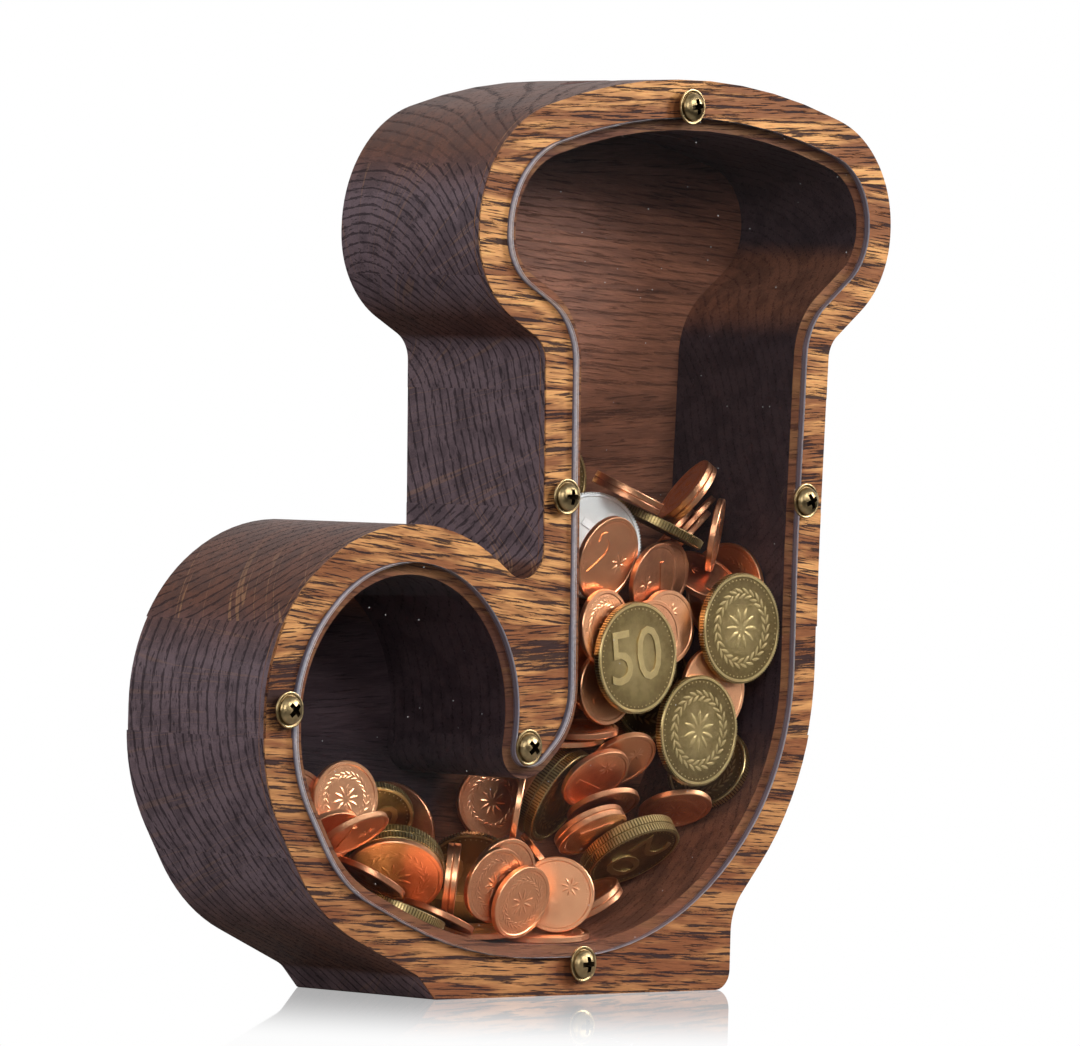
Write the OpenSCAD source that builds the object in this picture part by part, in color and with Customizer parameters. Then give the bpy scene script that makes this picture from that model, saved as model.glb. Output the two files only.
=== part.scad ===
// Letter-shaped money box: a J glued up from oak staves, with a blind pocket
// milled in from the front, a clear window screwed over the pocket, a coin slot
// in the top and the coins saved so far. Millimetres, +Z up, front towards -Y.
// The origin is the middle of the foot's rest face.

/* [Letter] */
// Height of the letter
letter_h = 181.5; // [165:0.5:220]
// Thickness of the letter from front to back
depth = 39; // [34:0.5:60]
// Width of the flat foot that it stands on
foot_w = 82.4; // [72:0.2:90]
// Height at which the foot runs into the round of the letter
foot_h = 16; // [13:0.5:19]
// Left side of the stem, measured from the middle of the foot
stem_x = -15; // [-18:0.5:-12]
// Width of the stem at its waist
stem_w = 79; // [74:0.5:90]
// How far each side of the stem leans out from its waist to the head
stem_flare = 1.3; // [0:0.1:3]
// Height of the corner between the stem and the head
neck_z = 130; // [122:0.5:136]
// Reach of the head past the stem, left
head_left = 19.8; // [15:0.2:24]
// Reach of the head past the stem, right
head_right = 18.6; // [15:0.2:24]
// Reach of the bowl past the stem's left side
bowl_reach = 73.6; // [70:0.2:80]
// Height of the bottom of the notch between the bowl and the stem
notch_z = 82; // [80:0.5:86]

/* [Staves] */
// Heights of the glue lines between the staves, up to the neck
low_seams = [28, 51, 73, 96, 119];
// Glue lines in the head, in hundredths of the way from the neck to the top
head_seams = [21.4, 64.1];

/* [Pocket and window] */
// From the outline to the edge of the window
window_inset = 7.5; // [6.5:0.1:9]
// Width of the ledge that the window lies on
ledge_w = 2.5; // [1.5:0.1:4]
// Depth of the rebate for the window
rebate_d = 1.6; // [1:0.1:2.6]
// Thickness of the clear window
window_t = 3; // [2:0.1:5]
// Gap round the window in its rebate
window_gap = 0.1; // [0.05:0.05:0.4]
// Wood left behind the pocket
back_wall = 5; // [4:0.5:8]
// Width of the wooden tongue between the bowl and the stem
tongue_w = 16; // [14:0.2:17]
// Height of the tip of the tongue
tongue_tip = 45.3; // [42:0.1:50]
// Where the pocket's lower left side would meet the ground
belly_left = -34.8; // [-40:0.2:-30]
// Where the pocket's lower right side would meet the ground
belly_right = 27.2; // [22:0.2:32]
// Radius of the window's round over the bowl
bowl_ring_r = 30; // [28:0.5:31]

/* [Coin slot] */
// Length of the coin slot
slot_l = 38; // [32:0.5:50]
// Width of the coin slot
slot_w = 5; // [4.2:0.1:7]

/* [Screws] */
// Diameter of the flange under a screw's head
flange_d = 7.1; // [6:0.1:8]
// Thickness of the flange at its rim
flange_t = 0.5; // [0.3:0.1:0.8]
// Height of the head over the flange
dome_h = 1.7; // [1.2:0.1:2.4]
// Diameter of the domed part of the head
dome_d = 5.6; // [4.6:0.1:5.8]
// Diameter of the shank
shank_d = 2.5; // [2:0.1:3]
// Length of the shank under the flange
shank_l = 13; // [8:0.5:20]
// Gap between the shank and its pilot hole
pilot_gap = 0.05; // [0.02:0.01:0.2]
// Span of the cross recess
cross_span = 2.9; // [2:0.1:3.4]
// Width of each arm of the cross recess
cross_w = 0.8; // [0.5:0.1:1.1]
// Depth of the cross recess
cross_d = 1.3; // [0.8:0.1:1.6]

/* [Hidden] */
$fn = 48;
arc_step = 4;
eps = 0.01;
reach = 400;

front_y = -depth / 2;
stem_l = stem_x;
stem_r = stem_x + stem_w;
head_l = stem_l - head_left;
head_r = stem_r + head_right;
head_mid = (head_l + head_r) / 2;
bowl_l = stem_l - bowl_reach;
bowl_x = bowl_l + 37.7;
bowl_z = 55;
foot_half = foot_w / 2;
pocket_d = depth - back_wall;
seams = concat(low_seams, [for (share = head_seams) neck_z + share / 100 * (letter_h - neck_z)]);

// Corners of the letter, anticlockwise from the foot's left end, each [x, z, radius]
letter_corners = [
  [-foot_half, 0, 1],
  [foot_half, 0, 4],
  [foot_half, foot_h, 12],
  [stem_r, 42, 60],
  [stem_r, 88, 200],
  [stem_r + stem_flare, neck_z, 6],
  [head_r, neck_z + 13.5, 21],
  [head_r, letter_h - 11, 22],
  [head_mid, letter_h + 6.8, 136],
  [head_l, letter_h - 12.5, 26],
  [head_l, neck_z + 8, 19],
  [stem_l - stem_flare / 2, neck_z - 2, 6],
  [stem_l + stem_flare / 2, notch_z - 5.4, 5.8],
  [bowl_l + 37.4, 101.8, 41],
  [bowl_l, 73.5, 35],
  [bowl_l, 41.3, 37],
  [bowl_l + 15.7, 16.3, 35],
  [-foot_half - 4.6, 4.7, 6]
];

// The letter without its foot or its notch, for the window's edge to follow
plain_corners = concat(
  [[belly_left, 0, 100], [belly_right, 0, 72]],
  [for (i = [3:12]) letter_corners[i]],
  [for (i = [14:16]) letter_corners[i]]
);

// A corner of the round over the bowl: middle angle m, half angle h
function ring_corner(m, h) = [
  bowl_x + bowl_ring_r / cos(h) * cos(m),
  bowl_z + bowl_ring_r / cos(h) * sin(m),
  bowl_ring_r
];

window_plain = inset(plain_corners, window_inset);
tongue_right = stem_l + window_inset + 1;

// Corners of the window's edge, with the wooden tongue left out
window_corners = concat(
  [for (i = [0:10]) window_plain[i]],
  [
    [tongue_right, tongue_tip + 8.7, 15],
    [tongue_right - 9.5, tongue_tip, 8],
    [tongue_right - tongue_w, tongue_tip, 4]
  ],
  [ring_corner(29.5, 35.5), ring_corner(100, 35), ring_corner(159.5, 24.5)],
  [window_plain[13], window_plain[14]]
);

function unit(v) = v / norm(v);
function flat(c) = [c.x, c.y];
function left_of(v) = [-v.y, v.x];
function way_in(c, i) = unit(flat(c[i]) - flat(c[(i + len(c) - 1) % len(c)]));
function way_out(c, i) = way_in(c, (i + 1) % len(c));
function turn(c, i) = let (u = way_in(c, i), v = way_out(c, i)) atan2(cross(u, v), u * v);

// Corners moved inwards by d, with each radius shrunk or grown to stay parallel
function inset(c, d) = [
  for (i = [0:len(c) - 1])
    let (n = left_of(way_in(c, i)), m = left_of(way_out(c, i)))
    let (p = flat(c[i]) + d * (n + m) / (1 + n * m))
    [p.x, p.y, max(0, c[i][2] - sign(turn(c, i)) * d)]
];

// Share of an edge that the arcs at its two ends ask for, so that they never cross
function tangent(c, i) = c[i][2] * tan(abs(turn(c, i)) / 2);
function edge_room(c, i) = let (j = (i + 1) % len(c))
  min(1, norm(flat(c[j]) - flat(c[i])) / max(eps, tangent(c, i) + tangent(c, j)));
function fit_r(c, i) = c[i][2] * min(edge_room(c, i), edge_room(c, (i + len(c) - 1) % len(c)));

// Points of the arc that rounds corner i
function arc_points(c, i) =
  let (t = turn(c, i), r = fit_r(c, i), s = sign(t), u = way_in(c, i))
  let (start = flat(c[i]) - u * r * tan(abs(t) / 2), hub = start + left_of(u) * r * s)
  let (n = max(1, ceil(abs(t) / arc_step)), a = atan2(u.y, u.x) - 90 * s)
  [for (k = [0:n]) hub + r * [cos(a + t * k / n), sin(a + t * k / n)]];

function rounded(c) = [for (i = [0:len(c) - 1]) each arc_points(c, i)];

// A flat outline in x and z, thickened backwards from depth y behind the front
module plate(points, y, t) {
  translate([0, front_y + y + t, 0])
    rotate([90, 0, 0])
      linear_extrude(t)
        polygon(points);
}

// Screws: [x, z, turn of the cross], in the rim just outside the window's edge
screws = [
  [head_mid - 2, letter_h - 5.3, 12],
  [stem_l + 4.6, 98.2, 0],
  [stem_r - 6, 98.3, 25],
  [bowl_l + 4.8, 56.5, 45],
  [tongue_right - 12.6, 49, 45],
  [-2.3, 6.2, 3]
];

module screw_axis(s, y) {
  translate([s.x, front_y + y, s.y])
    rotate([90, 0, 0])
      children();
}

head_seat = rebate_d - window_t;

// The letter with its pocket, the window's rebate, the coin slot and the pilot holes
module letter_body() {
  difference() {
    plate(rounded(letter_corners), 0, depth);
    plate(pocket_outline, -eps, pocket_d + eps);
    plate(rounded(window_corners), -eps, rebate_d + eps);
    coin_slot();
    for (s = screws)
      screw_axis(s, shank_l + head_seat + pilot_gap)
        cylinder(d = shank_d + 2 * pilot_gap, h = shank_l + depth);
  }
}

slot_y = (rebate_d + pocket_d) / 2;

// Straight slot with round ends, down through the top of the head
module coin_slot() {
  translate([head_mid, front_y + slot_y, letter_h - 2 * window_inset])
    linear_extrude(3 * window_inset)
      union() {
        square([slot_l - slot_w, slot_w], center = true);
        for (side = [-1, 1])
          translate([side * (slot_l - slot_w) / 2, 0])
            circle(d = slot_w);
      }
}

// Stave n counts from 1 at the foot
module stave(n) {
  low = n == 1 ? -eps : seams[n - 2];
  high = n == len(seams) + 1 ? reach : seams[n - 1];
  color(n % 2 == 0 ? "peru" : "sienna")
    intersection() {
      letter_body();
      translate([-reach / 2, -reach / 2, low])
        cube([reach, reach, high - low]);
    }
}

module window() {
  color([0.85, 0.92, 0.95, 0.35])
    plate(rounded(inset(window_corners, window_gap)), head_seat, window_t);
}

// Half section of a screw: flange, dome and shank with a point
screw_profile = concat(
  [[0, 0], [flange_d / 2 - 0.15, 0], [flange_d / 2, flange_t / 2], [flange_d / 2 - 0.1, flange_t]],
  [for (a = [0:15:90]) [dome_d / 2 * cos(a), flange_t + dome_h * sin(a)]]
);

module screw(s) {
  color("darkkhaki")
    screw_axis(s, head_seat)
      rotate([0, 0, s[2]]) {
        difference() {
          rotate_extrude()
            polygon(screw_profile);
          translate([0, 0, flange_t + dome_h - cross_d])
            for (a = [0, 90])
              rotate([0, 0, a])
                translate([-cross_span / 2, -cross_w / 2, 0])
                  cube([cross_span, cross_w, cross_d + 1]);
        }
        translate([0, 0, -shank_l])
          cylinder(d = shank_d, h = shank_l);
      }
}

// Coin kinds: [colour, diameter, thickness]
C1 = ["chocolate", 15, 1.25];
C2 = ["sienna", 17.5, 1.25];
C5 = ["coral", 19.8, 1.25];
B10 = ["gold", 17.7, 1.8];
B20 = ["goldenrod", 20.35, 1.85];
B50 = ["khaki", 22.25, 1.55];
S100 = ["silver", 21.25, 2.3];

// Gap between the touching coins of a stack
coin_gap = 0.05;

// Each stack is [x, distance behind the front, z, turn, tilt, its coins from the front].
// Turn 0 faces the window, turn 90 faces -X, and a tilt over 0 faces up.

// Stem: coins flat against the window or nearly so
stem_front = [
  [13, 2.6, 66.5, 0, 0, [B50]],
  [42.5, 2.6, 72.5, 0, 0, [B50]],
  [31, 2.6, 52, 0, 0, [B50]],
  [7, 5.5, 86, -5, -15, [C2]],
  [21.5, 6.6, 82, -10, -12, [C1]],
  [26.5, 9, 82.5, -5, -10, [C1]],
  [6.2, 4.9, 72.5, -6, 0, [C1]],
  [19, 4.1, 70.5, 0, 0, [C1]],
  [24.5, 5.5, 72.5, 0, 0, [C1]],
  [9, 6.8, 60.5, 0, 0, [C1]],
  [37, 4.3, 60, 0, 0, [C2]]
];

// Stem: coins further back, and those on edge on top of the heap
stem_back = [
  [10.5, 13.5, 88.5, 20, 0, [S100]],
  [41.5, 12, 82.5, 7, 51, [C1]],
  [52, 16, 79.5, 86, 5, [C5]],
  [10, 9.5, 63.5, 5, 0, [C2]],
  [25.5, 11.2, 61, 0, 0, [B50]],
  [28.5, 13, 93.1, -51, 65, [B20]],
  [19, 11.5, 99.7, -45, 64, [C1, C1]],
  [39.6, 16, 99.8, 119, 38, [C1, C1]],
  [43.4, 24.3, 90.4, 135, 42, [C1]],
  [46.5, 21.5, 93, 135, 42, [C1]],
  [47, 23.2, 90, 135, 42, [C1]],
  [42, 9.5, 91, 141, 9, [C1]],
  [19, 33, 101, 0, 0, [B10]]
];

// Under the stem, where the heap slopes down into the bowl
slope = [
  [5.5, 10, 52, 45, 80, [C1]],
  [6.4, 14.8, 50.2, 45, 80, [C1]],
  [15, 7.9, 46, 8, -44, [C1]],
  [8.5, 8.5, 42.5, 3, -41, [C1]],
  [12.5, 10, 36.5, 5, -60, [C1]],
  [9.5, 10, 31.5, -5, -54, [C1, C1]],
  [21.5, 10.5, 27, -2, -53, [B20, B20]],
  [33, 10, 36, 24, -60, [C1]],
  [45.5, 13, 44, 75, 25, [B10]],
  [10, 12, 18.3, 108, 60, [C1, C1]],
  [-2.5, 7.5, 19.5, 45, 0, [C1]],
  [6, 16, 38.5, -21, -29, [B20, B20, C5]],
  [1.5, 15.3, 24.8, -51, 37, [C1]],
  [-3, 26, 37, 20, 0, [C1]],
  [-2.4, 12, 11.5, 45, 85, [C5]]
];

// Floor of the bowl
bowl_floor = [
  [-12.5, 9, 37, -45, -8, [C1]],
  [-15.4, 4.6, 18.4, -2, -17, [C1]],
  [-22.5, 5, 22, 0, -15, [C1]],
  [-18, 7.5, 22.5, 0, -15, [C2]],
  [-22.7, 15.9, 22, -45, -5, [C1, C1]],
  [-12.5, 21.5, 21.5, 45, -15, [B20]],
  [-17.8, 15.5, 12, 45, 85, [C1]],
  [-33.4, 9.2, 15.7, 113, -66, [C1]],
  [-38.5, 17, 23, 42, -40, [C5, B20, B20, C2]],
  [-33, 24.8, 31.5, 62, -5, [C5]],
  [-41.5, 11, 17, 119, -68, [B10]],
  [-42, 20.5, 34.5, 30, -40, [B10]]
];

// Left end of the bowl
bowl_left = [
  [-52, 9.4, 23.5, 110, -61, [C1]],
  [-53.5, 19.5, 35.5, 35, 0, [C1]],
  [-54, 15, 38.5, 10, 0, [C1]],
  [-63.5, 20, 37, 25, 0, [C1]],
  [-59.6, 14.15, 30.8, 5, -40, [C1]],
  [-58, 8.2, 32.1, -10, -55, [C1]]
];

stacks = concat(stem_front, stem_back, slope, bowl_floor, bowl_left);

// How far coin n of a stack lies behind its first coin
function set_back(coins, n) =
  n == 0 ? 0 : set_back(coins, n - 1) + (coins[n - 1][2] + coins[n][2]) / 2 + coin_gap;

pocket_outline = rounded(inset(window_corners, ledge_w));

function crossings(p, outline) = [
  for (i = [0:len(outline) - 1])
    let (a = outline[i], b = outline[(i + 1) % len(outline)])
    if ((a.y > p.y) != (b.y > p.y) && p.x < a.x + (p.y - a.y) * (b.x - a.x) / (b.y - a.y)) i
];
function in_pocket(p) = len(crossings(p, pocket_outline)) % 2 == 1;

// Points round the rim of a stack's first coin, as [x, z]
function rim(stack) =
  let (r = stack[5][0][1] / 2, t = stack[3], b = stack[4])
  [for (a = [0:30:330])
    [stack.x + r * (cos(a) * cos(t) + sin(a) * sin(t) * sin(b)), stack[2] + r * sin(a) * cos(b)]];

// A stack that the pocket has no room for is left out
function fits(stack) = len([for (p = rim(stack)) if (!in_pocket(p)) 1]) == 0;

module coin_stack(stack, kind) {
  coins = stack[5];
  translate([stack[0], front_y + stack[1], stack[2]])
    rotate([0, 0, -stack[3]])
      rotate([90 - stack[4], 0, 0])
        for (n = [0:len(coins) - 1])
          if (coins[n] == kind)
            translate([0, 0, -set_back(coins, n) - kind[2] / 2])
              cylinder(d = kind[1], h = kind[2]);
}

module coins(kind) {
  color(kind[0])
    for (stack = stacks)
      if (fits(stack))
        coin_stack(stack, kind);
}

stave(1);  // stave_1
stave(2);  // stave_2
stave(3);  // stave_3
stave(4);  // stave_4
stave(5);  // stave_5
stave(6);  // stave_6
stave(7);  // stave_7
stave(8);  // stave_8
window();
screw(screws[0]);  // screw_1
screw(screws[1]);  // screw_2
screw(screws[2]);  // screw_3
screw(screws[3]);  // screw_4
screw(screws[4]);  // screw_5
screw(screws[5]);  // screw_6
coins(C1);  // coins_copper_small
coins(C2);  // coins_copper_middle
coins(C5);  // coins_copper_large
coins(B10);  // coins_brass_small
coins(B20);  // coins_brass_middle
coins(B50);  // coins_brass_large
coins(S100);  // coins_silver
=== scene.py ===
import math
import random

import bmesh
import bpy
import numpy as np
from mathutils import Matrix, Vector


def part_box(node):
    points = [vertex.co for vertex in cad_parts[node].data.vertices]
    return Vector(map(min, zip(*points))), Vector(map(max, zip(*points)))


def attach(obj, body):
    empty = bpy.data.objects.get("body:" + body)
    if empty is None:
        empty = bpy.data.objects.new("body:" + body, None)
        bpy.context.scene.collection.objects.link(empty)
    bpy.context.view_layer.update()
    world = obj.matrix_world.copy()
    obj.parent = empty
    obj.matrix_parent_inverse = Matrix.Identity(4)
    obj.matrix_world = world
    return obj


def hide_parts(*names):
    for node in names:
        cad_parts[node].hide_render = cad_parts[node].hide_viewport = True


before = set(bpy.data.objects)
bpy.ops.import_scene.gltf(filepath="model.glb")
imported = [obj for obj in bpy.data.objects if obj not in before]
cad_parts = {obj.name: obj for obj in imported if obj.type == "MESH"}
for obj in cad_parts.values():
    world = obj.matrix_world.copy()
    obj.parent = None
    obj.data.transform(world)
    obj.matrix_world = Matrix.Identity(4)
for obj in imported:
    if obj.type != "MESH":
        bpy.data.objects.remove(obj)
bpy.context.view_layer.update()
print("frame loaded")

mm = 0.001
weld = 1e-6  # corners nearer than this are merged, m
flat = math.radians(0.4)  # faces turned less than this from each other are one flat face
front = {"y": -19.5, "proud": 1.4}  # the wooden face, and how far the window stands out of it, mm


# small helpers for meshes

def meshObject(name, mesh):
    piece = bpy.data.objects.new(name, mesh)
    bpy.context.scene.collection.objects.link(piece)
    return piece


def fromBmesh(name, bm, smooth=True):
    mesh = bpy.data.meshes.new(name)
    bm.to_mesh(mesh)
    bm.free()
    mesh.polygons.foreach_set("use_smooth", [smooth] * len(mesh.polygons))
    return mesh


def appliedMesh(piece):
    shown = piece.evaluated_get(bpy.context.evaluated_depsgraph_get())
    return bpy.data.meshes.new_from_object(shown)


def lathe(profile, segments):
    # profile is [radius, height] from the axis and back to it, turned about Z
    bm = bmesh.new()
    rings = []
    for radius, height in profile:
        if radius < 1e-6:
            rings.append([bm.verts.new((0, 0, height * mm))])
            continue
        ring = []
        for n in range(segments):
            angle = 2 * math.pi * n / segments
            x, y = radius * math.cos(angle), radius * math.sin(angle)
            ring.append(bm.verts.new((x * mm, y * mm, height * mm)))
        rings.append(ring)
    for low, high in zip(rings, rings[1:]):
        for n in range(segments):
            corners = [low[n % len(low)], low[(n + 1) % len(low)],
                       high[(n + 1) % len(high)], high[n % len(high)]]
            unique = list(dict.fromkeys(corners))
            if len(unique) > 2:
                bm.faces.new(unique)
    bmesh.ops.recalc_face_normals(bm, faces=bm.faces)
    return bm


def sharpenEdges(mesh, degrees):
    limit = math.radians(degrees)
    bm = bmesh.new()
    bm.from_mesh(mesh)
    for edge in bm.edges:
        edge.smooth = len(edge.link_faces) == 2 and edge.calc_face_angle() < limit
    bm.to_mesh(mesh)
    bm.free()


# small helpers for node trees

def addNode(tree, kind, inputs=None, **settings):
    node = tree.nodes.new(kind)
    for key, value in settings.items():
        setattr(node, key, value)
    for key, value in (inputs or {}).items():
        feed(tree, node.inputs[key], value)
    return node


def feed(tree, socket, value):
    if isinstance(value, bpy.types.NodeSocket):
        tree.links.new(value, socket)
    else:
        socket.default_value = value


def calc(tree, operation, *values):
    node = tree.nodes.new("ShaderNodeMath")
    node.operation = operation
    for socket, value in zip(node.inputs, values):
        feed(tree, socket, value)
    return node.outputs[0]


def vectorCalc(tree, operation, first, second=None):
    node = tree.nodes.new("ShaderNodeVectorMath")
    node.operation = operation
    feed(tree, node.inputs[0], first)
    if second is not None:
        feed(tree, node.inputs[1], second)
    return node.outputs["Value" if operation == "LENGTH" else "Vector"]


def between(tree, value, low, high, atLow=0.0, atHigh=1.0):
    node = addNode(tree, "ShaderNodeMapRange", interpolation_type="SMOOTHSTEP")
    settings = {"Value": value, "From Min": low, "From Max": high, "To Min": atLow, "To Max": atHigh}
    for key, item in settings.items():
        feed(tree, node.inputs[key], item)
    return node.outputs["Result"]


def mixColour(tree, share, first, second, blend="MIX"):
    node = addNode(tree, "ShaderNodeMix", data_type="RGBA", blend_type=blend)
    feed(tree, node.inputs[0], share)
    feed(tree, node.inputs[6], first)
    feed(tree, node.inputs[7], second)
    return node.outputs[2]


def noise(tree, vector, scale=1.0, detail=2.0, rough=0.5):
    return addNode(tree, "ShaderNodeTexNoise",
                   {"Vector": vector, "Scale": scale, "Detail": detail, "Roughness": rough})


def stretched(tree, place, stretch):
    return vectorCalc(tree, "MULTIPLY", place, stretch)


def axis(tree, vector, name):
    return addNode(tree, "ShaderNodeSeparateXYZ", {"Vector": vector}).outputs[name]


def newMaterial(name):
    material = bpy.data.materials.new(name)
    material.use_nodes = True
    tree = material.node_tree
    return material, tree, tree.nodes["Principled BSDF"]


def millimetres(tree):
    place = addNode(tree, "ShaderNodeTexCoord").outputs["Object"]
    return vectorCalc(tree, "MULTIPLY", place, (1000.0, 1000.0, 1000.0))


def colour(red, green, blue):
    # from 0..255 as a screen shows it
    parts = []
    for value in (red, green, blue):
        share = value / 255
        parts.append(share / 12.92 if share < 0.04045 else ((share + 0.055) / 1.055) ** 2.4)
    return (*parts, 1.0)


# the oak staves

oak = {
    "edge": 0.35,           # softened outer edge, mm, which softenEdges reaches only on stave_3
    "sharp": 35,            # edges that bend more than this are softened where they bound a face, degrees
    "sanded": 0.35,         # depth of the golden sanded skin at the front, mm
    "sandedSoft": 0.45,     # over which it turns into the stain, mm
    "ragged": 0.5,          # how far the fine grain frays that change
    "ledge": 1.6,           # depth of the ledge that the window lies on, mm
    "ledgeShow": 0.55,      # how much of it the sanding caught
    "hidden": 18.5,         # a face with all its corners nearer than this to the middle lines the pocket, mm
    "bowl": (-38.0, 46.0, 34.0),  # the bowl's hollow, which gets the pocket's painted shade: x, z, radius, mm
    "bowlSoft": 8.0,        # width of the border of that painted shade, mm
    "shadedTop": (146.0, 172.0),  # heights between which the pocket's rear wall gets darker, mm
    "shadedLeft": 0.25,     # how much of its own colour it keeps above them
    "faceLight": colour(234, 171, 106),
    "faceMid": colour(142, 89, 54),
    "faceRed": colour(120, 68, 44),
    "facePore": colour(44, 29, 32),
    "stainWarm": colour(104, 64, 48),
    "stainTop": colour(100, 60, 44),
    # the next two are the pocket's colour where lit, and painted shade for its side walls, the top of its
    # rear wall and the bowl's hollow
    "pocketLit": colour(144, 94, 72),
    "pocketShade": colour(78, 62, 66),
    "stainCool": colour(113, 95, 101),
    "stainRay": colour(182, 136, 98),
    "stainPore": colour(28, 20, 26),
    "earlyTint": 0.25, "facePores": 0.93,                            # strength of each layer of colour
    "stainTone": 0.35, "stainRays": 0.55, "stainPores": 0.80, "pocketPores": -0.35,
    "fineGrain": 0.6,
    "pits": 0.00012, "bump": 0.8, "roughness": (0.46, 0.66), "specular": 0.14,
}

# the grain's pattern: a stretch is noise per mm along x, y and z, with x along the board
grain = {
    "perStave": (37.0, 11.0),  # shift of the pattern in x and y from one stave to the next, mm
    "slow": (0.012, 0.035, 0.035), "slowReach": (0.0, 2.6, 2.6),     # how the rings wander
    "quick": (0.05, 0.22, 0.22), "quickReach": (0.0, 0.55, 0.55),    # and ripple
    "early": (0.06, 0.34), "late": (0.94, 1.0),                      # parts of a year's growth
    "vessel": (0.25, 2.3, 2.3), "vesselWide": 0.10, "vesselEarly": 0.28, "vesselSoft": 0.12,
    "vesselDark": 0.85,
    "dash": (0.11, 2.5, 2.5), "dashLimit": 0.585, "dashEarly": -0.10, "dashFront": -0.035, "dashSoft": 0.05,
    "ray": (0.45, 0.008, 0.015), "rayWide": (0.004, 0.016),          # way round, out and along
    "row": (0.55, 2.4, 0.3), "rowLimit": 0.58, "rowEarly": -0.215, "rowSoft": 0.09, "rowDark": 0.85,
    "fine": (0.30, 5.0, 5.0), "fineHigh": 0.25,
    "tone": (0.03, 0.22, 0.22), "toneRange": (0.41, 0.61),
}

# each stave: pith of its tree in y and z and ring width in mm, slope of the grain, redness, strength
# of the rays and, where it isn't the usual one, of the rows of pores on the end grain
staves = {
    "stave_1": {"pith": (-80, 48), "ring": 2.2, "lean": 0.04, "red": 0.58, "rays": 0.3},
    "stave_2": {"pith": (-85, 62), "ring": 2.4, "lean": 0.06, "red": 0.50, "rays": 0.25},
    "stave_3": {"pith": (-95, 60), "ring": 2.7, "lean": -0.05, "red": 0.30, "rays": 0.25},
    "stave_4": {"pith": (50, 150), "ring": 2.0, "lean": 0.12, "red": 0.20, "rays": 0.8},
    "stave_5": {"pith": (-100, 138), "ring": 2.2, "lean": -0.06, "red": 0.15, "rays": 0.45},
    "stave_6": {"pith": (30, 112), "ring": 2.0, "lean": 0.06, "red": 0.15, "rays": 0.35},
    "stave_7": {"pith": (14, 131), "ring": 1.8, "lean": 0.10, "red": 0.15, "rays": 0.4},
    "stave_8": {"pith": (24, 84), "ring": 1.9, "lean": -0.05, "red": 0.10, "rays": 0.2, "rows": 0.35},
}


def ringGrowth(tree, place, stave, shifted):
    # place and distance from the pith, and how far through its year each point is
    slow = noise(tree, stretched(tree, shifted, grain["slow"])).outputs["Color"]
    quick = noise(tree, stretched(tree, shifted, grain["quick"])).outputs["Color"]
    wander = stretched(tree, vectorCalc(tree, "SUBTRACT", slow, (0.5, 0.5, 0.5)), grain["slowReach"])
    ripple = stretched(tree, vectorCalc(tree, "SUBTRACT", quick, (0.5, 0.5, 0.5)), grain["quickReach"])
    warped = vectorCalc(tree, "ADD", place, vectorCalc(tree, "ADD", wander, ripple))
    pithY, pithZ = stave["pith"]
    fromPith = vectorCalc(tree, "SUBTRACT", warped, (0.0, float(pithY), float(pithZ)))
    radius = vectorCalc(tree, "LENGTH", stretched(tree, fromPith, (stave["lean"], 1.0, 1.0)))
    return fromPith, radius, calc(tree, "FRACT", calc(tree, "DIVIDE", radius, stave["ring"]))


def poreMask(tree, shifted, early, atFront):
    # long thin vessels along the board, widest in the early wood
    cell = addNode(tree, "ShaderNodeTexVoronoi", {"Vector": stretched(tree, shifted, grain["vessel"])})
    width = calc(tree, "MULTIPLY_ADD", early, grain["vesselEarly"], grain["vesselWide"])
    core = calc(tree, "SUBTRACT", width, grain["vesselSoft"])
    vessels = between(tree, cell.outputs["Distance"], core, width, 1.0, 0.0)
    dash = noise(tree, stretched(tree, shifted, grain["dash"]), 1.0, 4.0, 0.62).outputs["Fac"]
    limit = calc(tree, "MULTIPLY_ADD", early, grain["dashEarly"], grain["dashLimit"])
    limit = calc(tree, "MULTIPLY_ADD", atFront, grain["dashFront"], limit)
    dashes = between(tree, dash, limit, calc(tree, "ADD", limit, grain["dashSoft"]))
    return calc(tree, "MAXIMUM", calc(tree, "MULTIPLY", vessels, grain["vesselDark"]), dashes)


def polar(tree, fromPith, reach):
    # way round the tree, in mm at the middle of the stave, and way along it
    angle = calc(tree, "ARCTAN2", axis(tree, fromPith, "Y"), axis(tree, fromPith, "Z"))
    return calc(tree, "MULTIPLY", angle, reach), axis(tree, fromPith, "X")


def roundTree(tree, arc, radius, along, stretch):
    # a place for noise whose axes run round the tree, out from its pith and along it
    ways = [calc(tree, "MULTIPLY", way, share) for way, share in zip((arc, radius, along), stretch)]
    return addNode(tree, "ShaderNodeCombineXYZ", dict(zip("XYZ", ways))).outputs[0]


def rayMask(tree, arc, along, radius):
    # thin sheets that run straight out from the pith
    fan = roundTree(tree, arc, radius, along, grain["ray"])
    sheet = noise(tree, fan, 1.0, 1.0).outputs["Fac"]
    off = calc(tree, "ABSOLUTE", calc(tree, "SUBTRACT", sheet, 0.5))
    return between(tree, off, *grain["rayWide"], 1.0, 0.0)


def ringLines(tree, arc, along, radius, early):
    # pores seen on their ends, in rows that follow the rings
    spot = roundTree(tree, arc, radius, along, grain["row"])
    streak = noise(tree, spot, 1.0, 4.0, 0.6).outputs["Fac"]
    limit = calc(tree, "MULTIPLY_ADD", early, grain["rowEarly"], grain["rowLimit"])
    return between(tree, streak, limit, calc(tree, "ADD", limit, grain["rowSoft"]))


def goldenFace(tree, stave, tone, early, dark):
    face = mixColour(tree, tone, oak["faceMid"], oak["faceLight"])
    face = mixColour(tree, calc(tree, "MULTIPLY", early, oak["earlyTint"]), face, oak["faceMid"])
    face = mixColour(tree, stave["red"], face, oak["faceRed"])
    return mixColour(tree, calc(tree, "MULTIPLY", dark, oak["facePores"]), face, oak["facePore"])


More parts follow.
